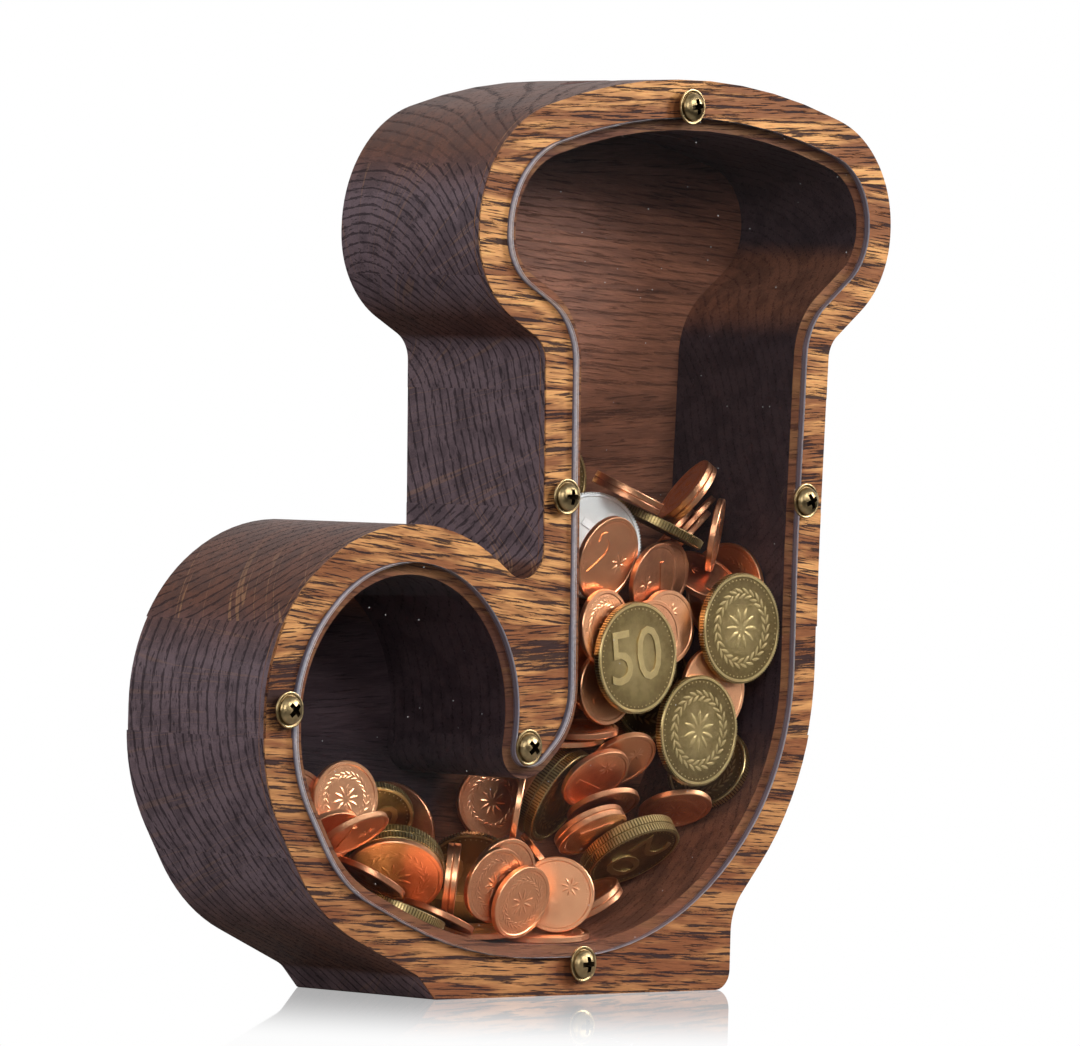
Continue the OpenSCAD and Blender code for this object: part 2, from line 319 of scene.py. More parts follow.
def stainAndPocketShade(tree, place, side, endGrain, inside):
    # upward surfaces took the warm stain and the cut ends the cool one; inside the pocket its lit colour and
    # painted shade are set by which way each face looks
    upward = between(tree, side.outputs["Z"], 0.2, 0.65)
    stain = mixColour(tree, endGrain, oak["stainWarm"], oak["stainCool"])
    stain = mixColour(tree, upward, stain, oak["stainTop"])
    # inside the pocket, faces that look back or up get the lit colour, the side walls get painted shade, and
    # so does the rear wall towards the top of the head
    rear = calc(tree, "MAXIMUM", between(tree, calc(tree, "ABSOLUTE", side.outputs["Y"]), 0.5, 0.8), upward)
    lit = between(tree, axis(tree, place, "Z"), *oak["shadedTop"], 1.0, oak["shadedLeft"])
    rear = calc(tree, "MULTIPLY", rear, lit)
    stain = mixColour(tree, inside, stain, mixColour(tree, rear, oak["pocketShade"], oak["pocketLit"]))
    # painted shade over the bowl's hollow
    bowlX, bowlZ, bowlWide = oak["bowl"]
    fromBowl = vectorCalc(tree, "SUBTRACT", place, (bowlX, 0.0, bowlZ))
    fromBowl = vectorCalc(tree, "LENGTH", stretched(tree, fromBowl, (1.0, 0.0, 1.0)))
    bowlShade = between(tree, fromBowl, bowlWide - oak["bowlSoft"], bowlWide, 1.0, 0.0)
    return mixColour(tree, calc(tree, "MULTIPLY", bowlShade, inside), stain, oak["pocketShade"])


def oakMaterial(name, stave, reach, order):
    material, tree, shader = newMaterial(name)
    place = millimetres(tree)
    slope = calc(tree, "MULTIPLY", axis(tree, place, "X"), stave["lean"])
    shift = addNode(tree, "ShaderNodeCombineXYZ",
                    {"X": grain["perStave"][0] * order, "Y": grain["perStave"][1] * order, "Z": slope})
    shifted = vectorCalc(tree, "ADD", place, shift.outputs[0])
    fromPith, radius, growth = ringGrowth(tree, place, stave, shifted)
    early = calc(tree, "MAXIMUM", between(tree, growth, *grain["early"], 1.0, 0.0),
                 between(tree, growth, *grain["late"]))
    fine = noise(tree, stretched(tree, shifted, grain["fine"]), 1.0, 3.0, 0.6).outputs["Fac"]
    tone = noise(tree, stretched(tree, shifted, grain["tone"]), 1.0, 4.0, 0.6).outputs["Fac"]
    tone = between(tree, tone, *grain["toneRange"])
    arc, along = polar(tree, fromPith, reach)

    depth = axis(tree, place, "Y")
    skin = front["y"] + oak["sanded"]
    ragged = calc(tree, "MULTIPLY_ADD", fine, oak["ragged"], depth)
    sanded = between(tree, ragged, skin, skin + oak["sandedSoft"], 1.0, 0.0)
    fromLedge = calc(tree, "ABSOLUTE", calc(tree, "SUBTRACT", depth, front["y"] + oak["ledge"]))
    ledge = between(tree, fromLedge, 0.05, 0.15, oak["ledgeShow"], 0.0)
    side = addNode(tree, "ShaderNodeSeparateXYZ",
                   {"Vector": addNode(tree, "ShaderNodeNewGeometry").outputs["Normal"]})
    endGrain = between(tree, calc(tree, "ABSOLUTE", side.outputs["X"]), 0.35, 0.85)
    inside = addNode(tree, "ShaderNodeAttribute", attribute_name="inside").outputs["Fac"]
    outside = calc(tree, "MULTIPLY", calc(tree, "SUBTRACT", 1.0, sanded),
                   calc(tree, "SUBTRACT", 1.0, inside))

    # the face and the pocket show long pores, the cut ends outside show rows of pores and rays
    dark = poreMask(tree, shifted, early, sanded)
    face = goldenFace(tree, stave, tone, early, dark)
    rows = ringLines(tree, arc, along, radius, early)
    rows = calc(tree, "MULTIPLY", rows, stave.get("rows", grain["rowDark"]))
    cut = calc(tree, "MULTIPLY", endGrain, outside)
    dark = addNode(tree, "ShaderNodeMix", {0: cut, 2: dark, 3: rows}).outputs[0]
    rays = calc(tree, "MULTIPLY", rayMask(tree, arc, along, radius), stave["rays"])
    rays = calc(tree, "MULTIPLY", calc(tree, "MULTIPLY", rays, endGrain),
                calc(tree, "MULTIPLY", outside, oak["stainRays"]))

    # the stain, with the lit colour and painted shade inside the pocket
    stain = stainAndPocketShade(tree, place, side, endGrain, inside)
    stain = mixColour(tree, calc(tree, "MULTIPLY", tone, oak["stainTone"]), stain, oak["stainPore"])
    stain = mixColour(tree, rays, stain, oak["stainRay"])
    darkness = calc(tree, "MULTIPLY_ADD", inside, oak["pocketPores"], oak["stainPores"])
    stain = mixColour(tree, calc(tree, "MULTIPLY", dark, darkness), stain, oak["stainPore"])
    stain = mixColour(tree, ledge, stain, mixColour(tree, 0.5, face, oak["faceRed"]))
    wood = mixColour(tree, sanded, stain, face)
    feed(tree, shader.inputs["Base Color"], mixColour(tree, oak["fineGrain"], wood, fine, "OVERLAY"))

    height = calc(tree, "SUBTRACT", calc(tree, "MULTIPLY", fine, grain["fineHigh"]), dark)
    bump = addNode(tree, "ShaderNodeBump",
                   {"Height": height, "Distance": oak["pits"], "Strength": oak["bump"]})
    feed(tree, shader.inputs["Normal"], bump.outputs[0])
    feed(tree, shader.inputs["Roughness"], between(tree, dark, 0.0, 1.0, *oak["roughness"]))
    shader.inputs["Specular IOR Level"].default_value = oak["specular"]
    return material


def flattened(node):
    # a copy of a CAD piece with its corners merged and its flat faces joined
    bm = bmesh.new()
    bm.from_mesh(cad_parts[node].data)
    bmesh.ops.remove_doubles(bm, verts=bm.verts, dist=weld)
    bmesh.ops.dissolve_limit(bm, angle_limit=flat, verts=bm.verts, edges=bm.edges)
    return bm


def atGlueLine(edge):
    # the foot is level too, but lies lower than any glue line
    return any(abs(face.normal.z) > 0.9999 and face.calc_center_median().z > 20 * mm
               for face in edge.link_faces)


def boundsFace(edge):
    # whether it lies in the front or the rear face, and isn't one of a pilot hole's short edges
    y = (edge.verts[0].co.y + edge.verts[1].co.y) / 2
    return abs(abs(y) - abs(front["y"]) * mm) < 0.01 * mm and edge.calc_length() > 0.4 * mm


def softenEdges(bm, edges, wide):
    # the clamp narrows all of a piece's edges to what its tightest corner has room for, which leaves
    # the window 0.16 mm, stave_3 0.35 mm and the other staves only 0.001 to 0.09 mm
    bmesh.ops.bevel(bm, geom=edges, offset=wide * mm, segments=2, affect="EDGES", clamp_overlap=True)


def softenedStave(node, name):
    # its outline is softened at the front and the rear as far as the clamp allows, and the glue lines
    # stay closed; next to stave_3 the difference leaves a step of about 0.3 mm in the outline
    bm = flattened(node)
    outer = []
    for edge in bm.edges:
        if len(edge.link_faces) != 2 or edge.calc_face_angle() < math.radians(oak["sharp"]):
            continue
        if boundsFace(edge) and not atGlueLine(edge):
            outer.append(edge)
    softenEdges(bm, outer, oak["edge"])
    mesh = fromBmesh(name, bm)
    sharpenEdges(mesh, 28)
    lining = []
    for face in mesh.polygons:
        lining.append(float(max(abs(mesh.vertices[n].co.y) for n in face.vertices) < oak["hidden"] * mm))
    mesh.attributes.new("inside", "FLOAT", "FACE").data.foreach_set("value", lining)
    return meshObject(name, mesh)


for order, (node, stave) in enumerate(staves.items()):
    board = softenedStave(node, "oak_" + node)
    board.data.materials.clear()
    low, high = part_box(node)
    reach = math.hypot(stave["pith"][0], stave["pith"][1] - (low[2] + high[2]) / 2 / mm)
    board.data.materials.append(oakMaterial("stainedOak_" + node, stave, reach, order))
    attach(board, "root")
    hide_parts(node)
print("staves dressed")


# the clear window

acrylic = {
    "edge": 0.16,  # softened edge, mm
    "ior": 1.49, "tint": colour(250, 252, 253),
    "shadow": (0.95, 0.96, 0.97, 1.0),  # what it lets through to shadows and soft light
    "specks": 0.25, "speckWide": 0.035, "speckShow": 0.7, "dust": (0.9, 0.9, 0.9, 1.0),
    # the edge's colours: a painted highlight along the front lip, then its own bluish colour, then painted
    # shade towards the wood
    "paintedEdgeLight": colour(244, 247, 255), "blue": colour(206, 211, 230), "shaded": colour(132, 124, 138),
    "blueFrom": (0.50, 0.75), "shadedFrom": (1.00, 1.20),  # depths behind its front, mm
    "patch": (1.5, 1.5, 1.5), "patchRange": (0.35, 0.65, 0.75, 1.0),
    "sawnClear": 0.12, "sawnRough": 0.28,
}


def acrylicMaterial():
    material, tree, shader = newMaterial("clearAcrylic")
    shader.inputs["Base Color"].default_value = acrylic["tint"]
    shader.inputs["Transmission Weight"].default_value = 1.0
    shader.inputs["IOR"].default_value = acrylic["ior"]
    shader.inputs["Roughness"].default_value = 0.0
    # dust here and there
    cell = addNode(tree, "ShaderNodeTexVoronoi", {"Vector": millimetres(tree), "Scale": acrylic["specks"]})
    wide = acrylic["speckWide"]
    speck = between(tree, cell.outputs["Distance"], wide * 0.6, wide, acrylic["speckShow"], 0.0)
    dust = addNode(tree, "ShaderNodeBsdfDiffuse", {"Color": acrylic["dust"]})
    dusty = addNode(tree, "ShaderNodeMixShader", {0: speck, 1: shader.outputs[0], 2: dust.outputs[0]})
    # shadows and soft light pass straight through
    clear = addNode(tree, "ShaderNodeBsdfTransparent", {"Color": acrylic["shadow"]})
    ray = addNode(tree, "ShaderNodeLightPath")
    share = calc(tree, "MAXIMUM", ray.outputs["Is Shadow Ray"], ray.outputs["Is Diffuse Ray"])
    mix = addNode(tree, "ShaderNodeMixShader", {0: share, 1: dusty.outputs[0], 2: clear.outputs[0]})
    feed(tree, tree.nodes["Material Output"].inputs["Surface"], mix.outputs[0])
    return material


def sawnEdgeMaterial():
    # three bands from front to back: a painted highlight, the bluish edge itself and painted shade, with
    # patches of painted shade along it
    material, tree, shader = newMaterial("sawnAcrylicEdge")
    place = stretched(tree, millimetres(tree), acrylic["patch"])
    patch = between(tree, noise(tree, place, 1.0, 3.0).outputs["Fac"], *acrylic["patchRange"])
    depth = axis(tree, millimetres(tree), "Y")
    lip = front["y"] - front["proud"]
    blue = between(tree, depth, *[lip + step for step in acrylic["blueFrom"]])
    shaded = between(tree, depth, *[lip + step for step in acrylic["shadedFrom"]])
    paintedEdgeLight = mixColour(tree, blue, acrylic["paintedEdgeLight"], acrylic["blue"])
    paintedEdgeLight = mixColour(tree, shaded, paintedEdgeLight, acrylic["shaded"])
    feed(tree, shader.inputs["Base Color"], mixColour(tree, patch, acrylic["shaded"], paintedEdgeLight))
    shader.inputs["Transmission Weight"].default_value = acrylic["sawnClear"]
    shader.inputs["IOR"].default_value = acrylic["ior"]
    shader.inputs["Roughness"].default_value = acrylic["sawnRough"]
    return material


def softenedWindow():
    bm = flattened("window")
    rim = [edge for edge in bm.edges if edge.calc_face_angle(0) > math.radians(60)]
    softenEdges(bm, rim, acrylic["edge"])
    mesh = fromBmesh("clear_window", bm)
    sharpenEdges(mesh, 30)
    return meshObject("clear_window", mesh)


window = softenedWindow()
window.data.materials.clear()
window.data.materials.append(acrylicMaterial())
window.data.materials.append(sawnEdgeMaterial())
for face in window.data.polygons:
    face.material_index = 0 if abs(face.normal.y) > 0.95 else 1
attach(window, "root")
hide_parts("window")
print("window dressed")


# the screws

screwForm = {
    "flange": 7.1, "flangeThick": 0.5, "dome": 5.6, "domeHigh": 1.7,
    "sink": 0.05,  # how far the dome sits into the flange
    "shank": 2.5, "shankLong": 13.0, "threads": 12, "pointLong": 1.2, "neckLong": 1.0,
    "crossSpan": 3.6, "crossWide": 0.95, "crossDeep": 1.5,
    "segments": 56,
    "turns": {"screw_1": 12, "screw_2": 0, "screw_3": 25, "screw_4": 45, "screw_5": 45, "screw_6": 3},
    "brass": colour(190, 166, 122), "dull": colour(96, 78, 50), "soot": colour(24, 19, 14),
    "cloud": 0.3, "worn": 0.7, "sooted": 0.9, "roughness": (0.30, 0.44),
    "scratch": (14.0, 3.0, 14.0), "scratchDeep": 0.00003, "bump": 0.4,
}


def antiqueBrass():
    material, tree, shader = newMaterial("antiqueBrass")
    place = millimetres(tree)
    cloud = between(tree, noise(tree, place, 0.9, 4.0, 0.6).outputs["Fac"], 0.35, 0.7)
    # edges are worn bright, hollows stay dull
    worn = between(tree, addNode(tree, "ShaderNodeNewGeometry").outputs["Pointiness"], 0.47, 0.53)
    worn = calc(tree, "MULTIPLY", worn, screwForm["worn"])
    shine = calc(tree, "MULTIPLY_ADD", cloud, screwForm["cloud"], worn)
    metal = mixColour(tree, shine, screwForm["dull"], screwForm["brass"])
    recess = addNode(tree, "ShaderNodeAttribute", attribute_name="recess").outputs["Fac"]
    sooted = calc(tree, "MULTIPLY", recess, screwForm["sooted"])
    feed(tree, shader.inputs["Base Color"], mixColour(tree, sooted, metal, screwForm["soot"]))
    shader.inputs["Metallic"].default_value = 1.0
    feed(tree, shader.inputs["Roughness"], between(tree, cloud, 0.0, 1.0, *screwForm["roughness"]))
    scratch = noise(tree, stretched(tree, place, screwForm["scratch"])).outputs["Fac"]
    bump = addNode(tree, "ShaderNodeBump", {"Height": scratch, "Distance": screwForm["scratchDeep"],
                                            "Strength": screwForm["bump"]})
    feed(tree, shader.inputs["Normal"], bump.outputs[0])
    return material


def crossCutter():
    # two blades that narrow towards the bottom of the recess
    top = screwForm["flangeThick"] + screwForm["domeHigh"]
    span, wide = screwForm["crossSpan"], screwForm["crossWide"]
    levels = ((top - screwForm["crossDeep"], span * 0.22, wide * 0.32),
              (top + 0.3, span * 0.56, wide * 0.58))
    bm = bmesh.new()
    for quarter in (0, math.pi / 2):
        corners = []
        for height, halfSpan, halfWide in levels:
            for alongX, alongY in ((-1, -1), (1, -1), (1, 1), (-1, 1)):
                spot = Vector((alongX * halfSpan * mm, alongY * halfWide * mm, height * mm))
                spot.rotate(Matrix.Rotation(quarter, 3, "Z"))
                corners.append(bm.verts.new(spot))
        for face in ((3, 2, 1, 0), (4, 5, 6, 7), (0, 1, 5, 4), (1, 2, 6, 5), (2, 3, 7, 6), (3, 0, 4, 7)):
            bm.faces.new([corners[n] for n in face])
    return fromBmesh("cross_cutter", bm, False)


def screwProfile():
    # radius and height from the point up to the top of the dome
    rim, thick = screwForm["flange"] / 2, screwForm["flangeThick"]
    dome, shank = screwForm["dome"] / 2, screwForm["shank"] / 2
    point = -screwForm["shankLong"]
    profile = [[0, point], [shank * 0.2, point + 0.1]]
    pitch = (screwForm["shankLong"] - screwForm["pointLong"] - screwForm["neckLong"]) / screwForm["threads"]
    for n in range(screwForm["threads"]):
        base = point + screwForm["pointLong"] + n * pitch
        size = min(1.0, 0.55 + n * 0.15)
        profile += [[shank * 0.74 * size, base], [shank * size, base + pitch * 0.5]]
    profile += [[shank * 0.8, -0.9], [shank * 0.8, 0.0], [rim - 0.2, 0.0], [rim - 0.04, 0.08]]
    profile += [[rim, thick * 0.5], [rim - 0.05, thick * 0.9], [rim - 0.2, thick]]
    profile += [[rim - 0.38, thick * 0.92], [dome + 0.12, thick * 0.72], [dome + 0.02, thick * 0.8]]
    for n in range(1, 11):
        angle = math.radians(n * 9)
        height = thick + screwForm["domeHigh"] * math.sin(angle) - screwForm["sink"]
        profile.append([dome * math.cos(angle), height])
    profile[-1][0] = 0
    return profile


def recessFlags(mesh):
    # 1 for the faces of the cross recess, which lie under the dome's surface
    dome, thick = screwForm["dome"] / 2, screwForm["flangeThick"]
    flags = []
    for face in mesh.polygons:
        out = math.hypot(face.center.x, face.center.y) / mm
        bulge = math.sqrt(max(0.0, 1 - (out / dome) ** 2))
        surface = thick + screwForm["domeHigh"] * bulge - screwForm["sink"]
        flags.append(float(out < dome * 0.8 and thick < face.center.z / mm < surface - 0.1))
    return flags


def screwMesh():
    profile = screwProfile()
    body = meshObject("screw_body", fromBmesh("screw_body", lathe(profile, screwForm["segments"])))
    cutter = meshObject("cross_cutter", crossCutter())
    cut = body.modifiers.new("cross", "BOOLEAN")
    cut.object = cutter
    cut.operation = "DIFFERENCE"
    cut.solver = "EXACT"
    cut.use_self = True
    mesh = appliedMesh(body)
    bpy.data.objects.remove(body)
    bpy.data.objects.remove(cutter)
    sharpenEdges(mesh, 32)
    mesh.attributes.new("recess", "FLOAT", "FACE").data.foreach_set("value", recessFlags(mesh))
    mesh.materials.clear()
    mesh.materials.append(antiqueBrass())
    return mesh


screwModel = screwMesh()
for node, turn in screwForm["turns"].items():
    low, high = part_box(node)
    middle = Vector(((low[0] + high[0]) / 2, (front["y"] - front["proud"]) * mm, (low[2] + high[2]) / 2))
    upright = Matrix.Translation(middle) @ Matrix.Rotation(math.pi / 2, 4, "X")
    mesh = screwModel.copy()
    mesh.transform(upright @ Matrix.Rotation(math.radians(turn), 4, "Z"))
    screw = meshObject("brass_" + node, mesh)
    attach(screw, "root")
    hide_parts(node)
print("screws dressed")


# the coins

coinKinds = {
    "coins_copper_small": {"across": 15.0, "thick": 1.25, "value": "1", "reeds": 0,
                           "metal": "copper", "slot": "copper"},
    "coins_copper_middle": {"across": 17.5, "thick": 1.25, "value": "2", "reeds": 0,
                            "metal": "copper", "slot": "copper"},
    "coins_copper_large": {"across": 19.8, "thick": 1.25, "value": "5", "reeds": 0,
                           "metal": "copper", "slot": "copper"},
    "coins_brass_small": {"across": 17.7, "thick": 1.8, "value": "10", "reeds": 90,
                          "metal": "brass", "slot": "coin_brass"},
    "coins_brass_middle": {"across": 20.35, "thick": 1.85, "value": "20", "reeds": 100,
                           "metal": "brass", "slot": "coin_brass"},
    "coins_brass_large": {"across": 22.25, "thick": 1.55, "value": "50", "reeds": 120,
                          "metal": "brass", "slot": "coin_brass"},
    "coins_silver": {"across": 21.25, "thick": 2.3, "value": "1", "reeds": 110,
                     "metal": "silver", "slot": "coin_silver"},
}
# coins that show a chosen side: x, z, turn in degrees, numeral towards the window, tarnish; the low tarnish
# at (-2.5, 19.5) and (7, 86) is painted highlight that keeps those coins bright all over
posed = [
    [13, 66.5, 8, True, 0.0], [42.5, 72.5, 0, False, 0.1], [31, 52, 160, False, 0.1],
    [7, 86, -14, True, -0.2], [-2.5, 19.5, 30, True, -0.4], [-15.5, 18.5, 20, False, -0.1],
    [6.5, 72.5, 80, False, -0.1], [9, 60.5, 100, True, -0.1], [24.5, 72.5, 75, True, 0.0],
    [15, 46, 40, True, -0.3], [8.5, 42.5, 70, True, 0.0], [-41.5, 17, 0, False, 0.0],
]
coinForm = {
    "rim": 0.9, "sunk": 0.14, "relief": 0.34, "reedDeep": 0.2, "segments": 72,
    "bead": (0.17, 0.10), "beadsPerMm": 5.2, "beadsIn": 0.45,
    "posedNear": 1.2,  # a chosen coin's solid lies nearer than this to its x and z, mm
    "seed": 7, "tarnish": (-0.2, 0.5),
    "fieldShade": 0.16, "grooveShade": 0.9,
}
# leaves: length, half width and the circle they stand on as shares of the coin's radius, height in mm
leaves = {
    "starSmall": {"long": 0.20, "wide": 0.05, "high": 0.09, "slant": 0, "count": 8, "circle": 0.16},
    "star": {"long": 0.30, "wide": 0.065, "high": 0.10, "slant": 0, "count": 10, "circle": 0.24},
    "wreathIn": {"long": 0.20, "wide": 0.05, "high": 0.06, "slant": 118, "count": 24, "circle": 0.58},
    "wreathOut": {"long": 0.20, "wide": 0.05, "high": 0.06, "slant": 62, "count": 26, "circle": 0.68},
}
# digits: height, how far they stand to the left and where the small star stands, as shares of the radius
digits = {
    1: {"high": 1.45, "left": 0.28, "star": 0.42},
    2: {"high": 1.38, "left": 0.06},
}
metals = {
    "copper": {"bright": colour(250, 182, 136), "dull": colour(164, 94, 68), "rough": 0.3},
    "brass": {"bright": colour(208, 182, 128), "dull": colour(120, 100, 62), "rough": 0.31},
    "silver": {"bright": colour(255, 255, 253), "dull": colour(225, 225, 222), "rough": 0.48},
}


def coinMetal(name, metal):
    material, tree, shader = newMaterial(name)
    place = millimetres(tree)
    cloud = between(tree, noise(tree, place, 0.35, 5.0, 0.65).outputs["Fac"], 0.35, 0.72)
    shade = addNode(tree, "ShaderNodeAttribute", attribute_name="tarnish").outputs["Fac"]
    dull = calc(tree, "MULTIPLY_ADD", cloud, 0.25, shade)
    feed(tree, shader.inputs["Base Color"], mixColour(tree, dull, metal["bright"], metal["dull"]))
    shader.inputs["Metallic"].default_value = 1.0
    roughness = between(tree, cloud, 0.0, 1.0, metal["rough"], metal["rough"] + 0.04)
    feed(tree, shader.inputs["Roughness"], roughness)
    scratch = noise(tree, stretched(tree, place, (9.0, 9.0, 2.0)), 1.0, 3.0, 0.7).outputs["Fac"]
    bump = addNode(tree, "ShaderNodeBump", {"Height": scratch, "Distance": 0.00004, "Strength": 0.5})
    feed(tree, shader.inputs["Normal"], bump.outputs[0])
    return material


def circleTree():
    # copies of one small item, set round a circle and turned outwards
    tree = bpy.data.node_groups.new("itemsRoundCircle", "GeometryNodeTree")
    for name, kind in (("Item", "Object"), ("Count", "Int"), ("Radius", "Float")):
        tree.interface.new_socket(name, in_out="INPUT", socket_type="NodeSocket" + kind)
    tree.interface.new_socket("Geometry", in_out="OUTPUT", socket_type="NodeSocketGeometry")
    given = tree.nodes.new("NodeGroupInput").outputs
    circle = addNode(tree, "GeometryNodeMeshCircle", {"Vertices": given["Count"], "Radius": given["Radius"]})
    item = addNode(tree, "GeometryNodeObjectInfo", {"Object": given["Item"]})
    spot = addNode(tree, "GeometryNodeInputPosition")
    aim = addNode(tree, "FunctionNodeAlignRotationToVector", {"Vector": spot.outputs[0]},
                  axis="X", pivot_axis="Z")
    copies = addNode(tree, "GeometryNodeInstanceOnPoints", {"Points": circle.outputs[0],
                                                            "Instance": item.outputs["Geometry"],
                                                            "Rotation": aim.outputs[0]})
    real = addNode(tree, "GeometryNodeRealizeInstances", {"Geometry": copies.outputs[0]})
    tree.links.new(real.outputs[0], tree.nodes.new("NodeGroupOutput").inputs[0])
    return tree


def roundCircle(item, count, radius):
    # the item itself is no piece, so it goes once its copies are made
    holder = meshObject("circle_holder", bpy.data.meshes.new("circle_holder"))
    modifier = holder.modifiers.new("circle", "NODES")
    modifier.node_group = ringTree
    inputs = [entry for entry in ringTree.interface.items_tree if entry.in_out == "INPUT"]
    sockets = {entry.name: entry.identifier for entry in inputs}
    modifier[sockets["Item"]] = item
    modifier[sockets["Count"]] = count
    modifier[sockets["Radius"]] = radius * mm
    mesh = appliedMesh(holder)
    bpy.data.objects.remove(holder)
    bpy.data.objects.remove(item)
    return mesh


def boxItem(name, long, wide, high):
    bm = bmesh.new()
    bmesh.ops.create_cube(bm, size=1.0, matrix=Matrix.Diagonal((long * mm, wide * mm, high * mm, 1)))
    return meshObject(name, fromBmesh(name, bm, False))


def beadItem(name, size, high):
    bm = bmesh.new()
    squash = Matrix.Diagonal((size * mm, size * mm, high * mm, 1))
    bmesh.ops.create_icosphere(bm, subdivisions=1, radius=1.0, matrix=squash)
    return meshObject(name, fromBmesh(name, bm))


def leafItem(name, long, wide, high, slant):
    # a pointed leaf with a raised middle, whose rim is a little below the coin's field
    bm = bmesh.new()
    steps, below = 5, 0.05
    ridge = []
    sides = []
    for n in range(steps + 1):
        tip = n in (0, steps)
        x = (n / steps - 0.5) * long * mm
        middle = bm.verts.new((x, 0, 0 if tip else high * mm))
        ridge.append(middle)
        if tip:
            sides.append((middle, middle))
            continue
        width = wide * math.sin(math.pi * n / steps) ** 0.8
        sides.append([bm.verts.new((x, way * width * mm, -below * mm)) for way in (-1, 1)])
    for n in range(steps):
        for side in (0, 1):
            corners = [ridge[n], ridge[n + 1], sides[n + 1][side], sides[n][side]]
            unique = list(dict.fromkeys(corners))
            bm.faces.new(unique if side == 0 else unique[::-1])
    bmesh.ops.rotate(bm, verts=bm.verts, cent=(0, 0, 0), matrix=Matrix.Rotation(math.radians(slant), 3, "Z"))
    bmesh.ops.holes_fill(bm, edges=bm.edges, sides=0)
    bmesh.ops.recalc_face_normals(bm, faces=bm.faces)
    return meshObject(name, fromBmesh(name, bm))


def leafRing(name, radius):
    leaf = leaves[name]
    item = leafItem(name, radius * leaf["long"], radius * leaf["wide"], leaf["high"], leaf["slant"])
    return roundCircle(item, leaf["count"], radius * leaf["circle"])


def numeral(text, size, high):
    curve = bpy.data.curves.new("numeral", "FONT")
    curve.body = text
    curve.size = size * mm
    curve.extrude = high * mm / 2
    curve.align_x = "CENTER"
    curve.align_y = "CENTER"
    curve.resolution_u = 3
    holder = meshObject("numeral", curve)
    outline = appliedMesh(holder)
    bpy.data.objects.remove(holder)
    bm = bmesh.new()
    bm.from_mesh(outline)
    bmesh.ops.remove_doubles(bm, verts=bm.verts, dist=weld)
    bmesh.ops.recalc_face_normals(bm, faces=bm.faces)
    return fromBmesh("numeral", bm, False)


def addPlaced(bm, mesh, place):
    copy = mesh.copy()
    copy.transform(place)
    bm.from_mesh(copy)
    bpy.data.meshes.remove(copy)


def coinProfile(kind):
    # radius and height of the blank, from the middle of one side round to the middle of the other
    radius, half, rim = kind["across"] / 2, kind["thick"] / 2, coinForm["rim"]
    field = half - coinForm["sunk"]
    edge = radius - (coinForm["reedDeep"] if kind["reeds"] else 0.0)
    upper = [[edge, half - 0.16], [edge - 0.14, half], [radius - rim + 0.16, half]]
    upper += [[radius - rim, field], [0, field]]
    lower = [[r, -h] for r, h in upper[::-1]]
    return lower + upper if kind["reeds"] else lower + [[radius - 0.02, 0.0]] + upper


def coinModel(kind):
    radius = kind["across"] / 2
    figure = digits[len(kind["value"])]
    up = Matrix.Translation((0, 0, (kind["thick"] / 2 - coinForm["sunk"]) * mm))
    down = Matrix.Rotation(math.pi, 4, "X") @ up
    parts = [(fromBmesh("blank", lathe(coinProfile(kind), coinForm["segments"])), Matrix())]
    bead = beadItem("bead", *coinForm["bead"])
    count = int(radius * coinForm["beadsPerMm"])
    beads = roundCircle(bead, count, radius - coinForm["rim"] - coinForm["beadsIn"])
    parts += [(beads, up), (beads, down)]
    value = numeral(kind["value"], radius * figure["high"], coinForm["relief"])
    parts.append((value, up @ Matrix.Translation((-radius * figure["left"] * mm, 0, 0))))
    if "star" in figure:
        aside = Matrix.Translation((radius * figure["star"] * mm, 0, 0))
        parts.append((leafRing("starSmall", radius), up @ aside))
    parts += [(leafRing(name, radius), down) for name in ("wreathOut", "wreathIn", "star")]
    if kind["reeds"]:
        pitch = 2 * math.pi * radius / kind["reeds"]
        reed = boxItem("reed", coinForm["reedDeep"] * 2, pitch * 0.5, kind["thick"] - 0.3)
        parts.append((roundCircle(reed, kind["reeds"], radius - coinForm["reedDeep"]), Matrix()))
    bm = bmesh.new()
    for mesh, place in parts:
        addPlaced(bm, mesh, place)
    mesh = fromBmesh("coin_model", bm)
    sharpenEdges(mesh, 30)
    return mesh


def hollowShades(model, kind):
    # tarnish stays in the field and in the grooves between the reeds
    field = kind["thick"] / 2 - coinForm["sunk"] + 0.03
    inside = kind["across"] / 2 - coinForm["rim"] - 0.02
    groove = kind["across"] / 2 - coinForm["reedDeep"] + 0.01 if kind["reeds"] else 0.0
    shades = []
    for vert in model.vertices:
        out = math.hypot(vert.co.x, vert.co.y) / mm
        if out < inside and abs(vert.co.z) < field * mm:
            shades.append(coinForm["fieldShade"])
        elif inside < out < groove and abs(vert.co.z) / mm < kind["thick"] / 2 - 0.1:
            shades.append(coinForm["grooveShade"])
        else:
            shades.append(0.0)
    return shades


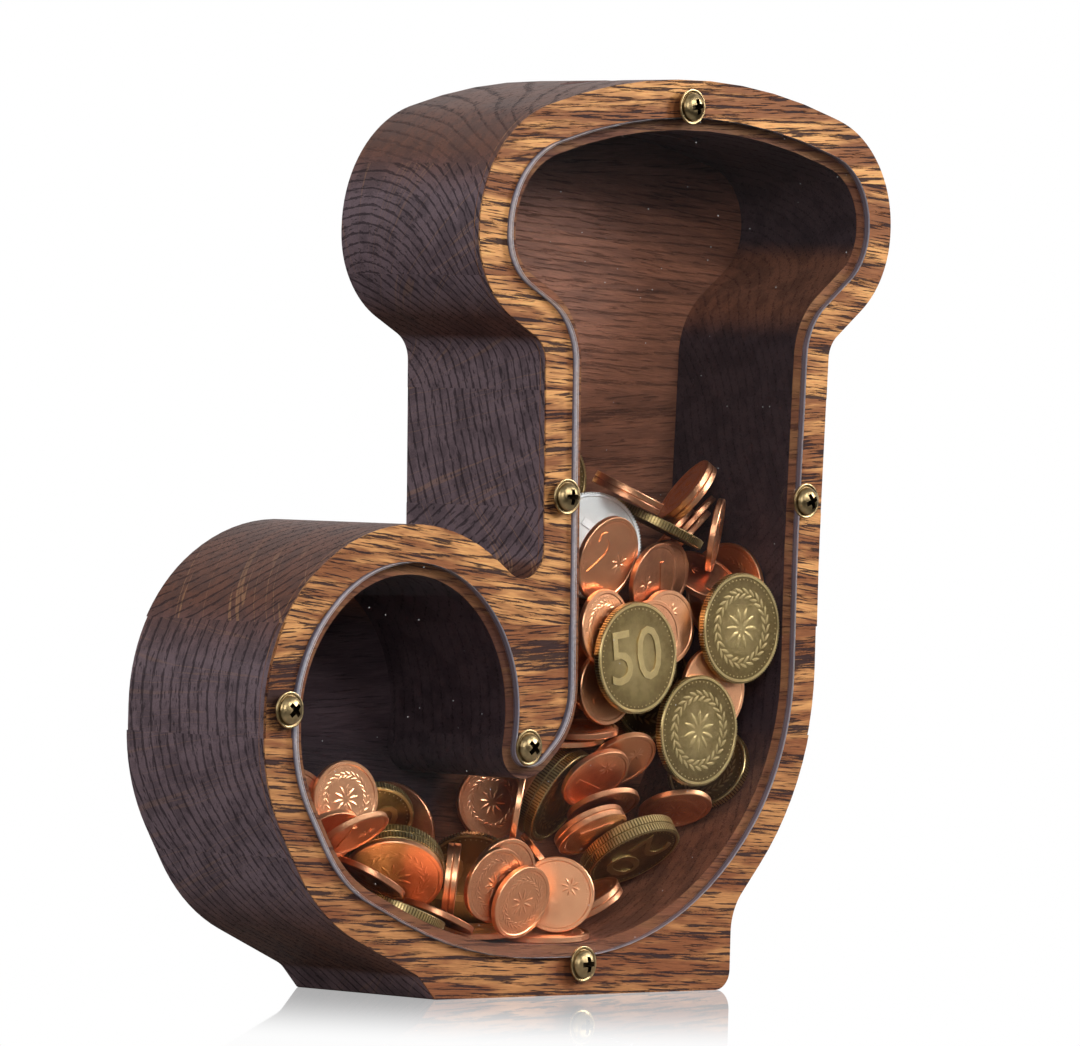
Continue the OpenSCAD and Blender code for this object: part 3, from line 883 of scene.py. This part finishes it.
def coinPlaces(node):
    # centre of each solid in a CAD node and the direction of its side that faces the window
    bm = bmesh.new()
    bm.from_mesh(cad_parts[node].data)
    bmesh.ops.remove_doubles(bm, verts=bm.verts, dist=weld)
    bm.verts.ensure_lookup_table()
    seen = set()
    places = []
    for start in bm.verts:
        if start.index in seen:
            continue
        group = []
        queue = [start]
        seen.add(start.index)
        while queue:
            vert = queue.pop()
            group.append(vert.co[:])
            for edge in vert.link_edges:
                other = edge.other_vert(vert)
                if other.index not in seen:
                    seen.add(other.index)
                    queue.append(other)
        points = np.array(group)
        points = points[np.lexsort(points.round(7).T)]
        middle = (points.min(0) + points.max(0)) / 2
        facing = np.linalg.svd(points - middle)[2][2]
        if facing @ np.array((-0.5, -0.7, 0.4)) < 0:
            facing = -facing
        places.append((Vector(middle), Vector(facing)))
    bm.free()
    places.sort(key=lambda place: (round(place[0].x, 5), round(place[0].z, 5)))
    return places


def coinPlacement(middle, facing, turn, back):
    place = Matrix.Translation(middle) @ facing.to_track_quat("Z", "Y").to_matrix().to_4x4()
    place = place @ Matrix.Rotation(math.radians(turn), 4, "Z")
    return place @ Matrix.Rotation(math.pi, 4, "X") if back else place


ringTree = circleTree()
metalFinish = {name: coinMetal("coin_" + name, metal) for name, metal in metals.items()}
luck = random.Random(coinForm["seed"])
for node, kind in coinKinds.items():
    model = coinModel(kind)
    hollows = hollowShades(model, kind)
    bm = bmesh.new()
    tarnish = []
    for middle, facing in coinPlaces(node):
        turn = luck.uniform(0, 360)
        back = luck.random() < 0.5
        shade = luck.uniform(*coinForm["tarnish"])
        # a chosen tarnish, which for some coins is painted highlight, takes the place of the random one
        for x, z, chosen, numeralSide, worn in posed:
            if math.hypot(middle.x - x * mm, middle.z - z * mm) < coinForm["posedNear"] * mm:
                turn = chosen
                back = not numeralSide
                shade = worn
        addPlaced(bm, model, coinPlacement(middle, facing, turn, back))
        tarnish += [shade + extra for extra in hollows]
    mesh = fromBmesh(node.replace("coins", "saved"), bm)
    sharpenEdges(mesh, 30)
    mesh.attributes.new("tarnish", "FLOAT", "POINT").data.foreach_set("value", tarnish)
    mesh.materials.clear()
    mesh.materials.append(metalFinish[kind["metal"]])
    mesh.polygons.foreach_set("material_index", [0] * len(mesh.polygons))
    heap = meshObject(mesh.name, mesh)
    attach(heap, "root")
    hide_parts(node)
print("coins dressed")


# floor, light and camera

# lengths are metres from the middle of the floor. The camera sees it white, with a faint mirror image
# near the foot. To all other rays it is matt, and its shade falls off towards the plate's radius
studio = {
    "floor": 3.0, "plate": 0.24, "plateShades": (0.4, 0.02),
    "shine": 0.025, "nearFoot": 0.6, "farFromFoot": 0.02, "fadeFrom": 0.04, "fadeTo": 0.17,
    "world": 0.16, "mirrored": 0.04, "sweep": (0.05, 0.35), "ceiling": 0.3, "ceilingFrom": (0.4, 0.75),
}
white = (1.0, 1.0, 1.0, 1.0)
camera = {
    "turn": 45, "rise": 0.6, "roll": 1.58,  # degrees
    "away": 9.0 / 5.08, "aim": (-5.772, front["y"], 93.072),  # metres, and the point looked at in mm
    "aside": 37 / 9000,  # how far the aim point is right of the picture's middle, as a share of away
    "lens": 300, "sensor": 36,
}


def floorMaterial():
    material, tree, shader = newMaterial("whiteFloor")
    spot = addNode(tree, "ShaderNodeTexCoord").outputs["Object"]
    away = vectorCalc(tree, "LENGTH", spot)
    plate = between(tree, away, studio["plate"] * 0.5, studio["plate"], *studio["plateShades"])
    feed(tree, shader.inputs["Base Color"], plate)
    shader.inputs["Specular IOR Level"].default_value = 0.0
    shader.inputs["Roughness"].default_value = 0.5
    ray = addNode(tree, "ShaderNodeLightPath")
    paper = addNode(tree, "ShaderNodeEmission", {"Color": white, "Strength": 1.0})
    mirror = addNode(tree, "ShaderNodeBsdfGlossy", {"Color": white, "Roughness": studio["shine"]})
    share = between(tree, away, studio["fadeFrom"], studio["fadeTo"],
                    studio["nearFoot"], studio["farFromFoot"])
    seen = addNode(tree, "ShaderNodeMixShader", {0: share, 1: paper.outputs[0], 2: mirror.outputs[0]})
    final = addNode(tree, "ShaderNodeMixShader", {0: ray.outputs["Is Camera Ray"], 1: shader.outputs[0],
                                                  2: seen.outputs[0]})
    feed(tree, tree.nodes["Material Output"].inputs["Surface"], final.outputs[0])
    return material


def makeFloor():
    bm = bmesh.new()
    bmesh.ops.create_grid(bm, x_segments=1, y_segments=1, size=studio["floor"])
    floor = meshObject("studio_floor", fromBmesh("studio_floor", bm, False))
    floor.data.materials.append(floorMaterial())


def makeWorld():
    world = bpy.data.worlds.new("studioWorld")
    bpy.context.scene.world = world
    world.use_nodes = True
    tree = world.node_tree
    back = tree.nodes["Background"]
    back.inputs["Color"].default_value = white
    ray = addNode(tree, "ShaderNodeLightPath")
    bent = calc(tree, "MAXIMUM", ray.outputs["Is Glossy Ray"], ray.outputs["Is Transmission Ray"])
    # reflections see a white sweep behind the box and a dark room in front of it
    around = addNode(tree, "ShaderNodeTexCoord").outputs["Generated"]
    sweep = between(tree, axis(tree, around, "Y"), *studio["sweep"], studio["mirrored"], 1.0)
    ceiling = between(tree, axis(tree, around, "Z"), *studio["ceilingFrom"], 0.0, studio["ceiling"])
    shift = calc(tree, "SUBTRACT", calc(tree, "MAXIMUM", sweep, ceiling), studio["world"])
    plain = calc(tree, "MULTIPLY_ADD", bent, shift, studio["world"])
    feed(tree, back.inputs["Strength"], calc(tree, "MAXIMUM", ray.outputs["Is Camera Ray"], plain))


def makeLamp(name, place, target, size, power):
    light = bpy.data.lights.new(name, "AREA")
    light.shape = "DISK"
    light.size = size
    light.energy = power
    lamp = bpy.data.objects.new(name, light)
    lamp.location = place
    lamp.visible_camera = False
    lamp.rotation_euler = (Vector(target) - Vector(place)).to_track_quat("-Z", "Y").to_euler()
    bpy.context.scene.collection.objects.link(lamp)


def makeCamera():
    # seen from front left, a little above the floor, through a long lens
    turn, rise, roll = [math.radians(camera[name]) for name in ("turn", "rise", "roll")]
    away = camera["away"]
    back = Vector((-math.sin(turn) * math.cos(rise), -math.cos(turn) * math.cos(rise), math.sin(rise)))
    level = Vector((math.cos(turn), -math.sin(turn), 0))
    upright = back.cross(level)
    if upright.z < 0:
        upright = -upright
    right = math.cos(roll) * level + math.sin(roll) * upright
    up = math.cos(roll) * upright - math.sin(roll) * level
    place = Vector(camera["aim"]) * mm + back * away - right * (camera["aside"] * away)
    data = bpy.data.cameras.new("camera")
    data.lens = camera["lens"]
    data.sensor_width = camera["sensor"]
    viewer = meshObject("camera", data)
    viewer.matrix_world = Matrix(((right.x, up.x, back.x, place.x), (right.y, up.y, back.y, place.y),
                                  (right.z, up.z, back.z, place.z), (0, 0, 0, 1)))
    bpy.context.scene.camera = viewer


makeFloor()
makeWorld()
lamps = [
    ["key", (1.00, -0.85, 0.60), 0.45, 15.0],
    ["fill", (0.15, -1.20, 0.75), 0.40, 7.0],
    ["side", (-1.15, 0.10, 0.45), 0.60, 4.0],
    ["top", (-0.10, 0.55, 1.10), 0.60, 1.6],
    ["front", (-0.80, -0.80, 0.42), 0.40, 3.6],
]
for name, place, size, power in lamps:
    makeLamp(name, place, (0, 0, 0.09), size, power)
makeCamera()
bpy.context.scene.view_settings.view_transform = "Standard"
print("studio ready")
